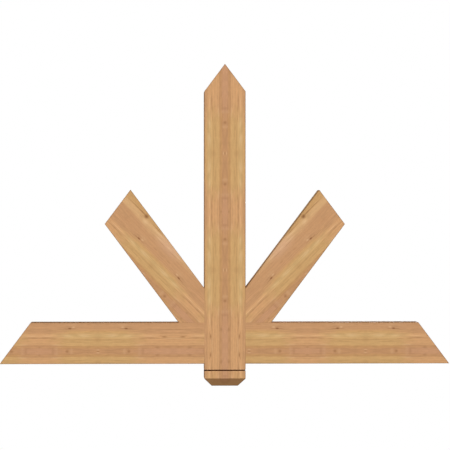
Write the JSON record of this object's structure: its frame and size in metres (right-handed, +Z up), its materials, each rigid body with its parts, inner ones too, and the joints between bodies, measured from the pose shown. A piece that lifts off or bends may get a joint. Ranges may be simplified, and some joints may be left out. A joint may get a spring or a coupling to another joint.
{
  "type": "decorative gable truss",
  "caption": "Flat timber gable truss: pointed king post with a kerfed, chamfered pendant foot, bottom chord with raked ends, and slanting braces, screwed together from the back.",
  "frame": {"origin": "on the centre line, in the plane of the backs, level with the underside of the bottom chord", "axes": "+X along the bottom chord to the right as seen from the front, +Y out of the back towards the wall, +Z up the king post"},
  "size_m": [1.524, 0.0889, 1.0922],
  "materials": {
    "timber": "planed smooth, unpainted softwood",
    "screw_steel": "satin coated steel"
  },
  "bodies": {
    "root": {"king_post": "timber", "bottom_chord": "timber", "left_brace": "timber", "right_brace": "timber", "lap_screws": "screw_steel", "left_brace_to_post_screws": "screw_steel", "left_brace_to_chord_screw": "screw_steel", "right_brace_to_post_screws": "screw_steel", "right_brace_to_chord_screw": "screw_steel"}
  },
  "joints": []
}
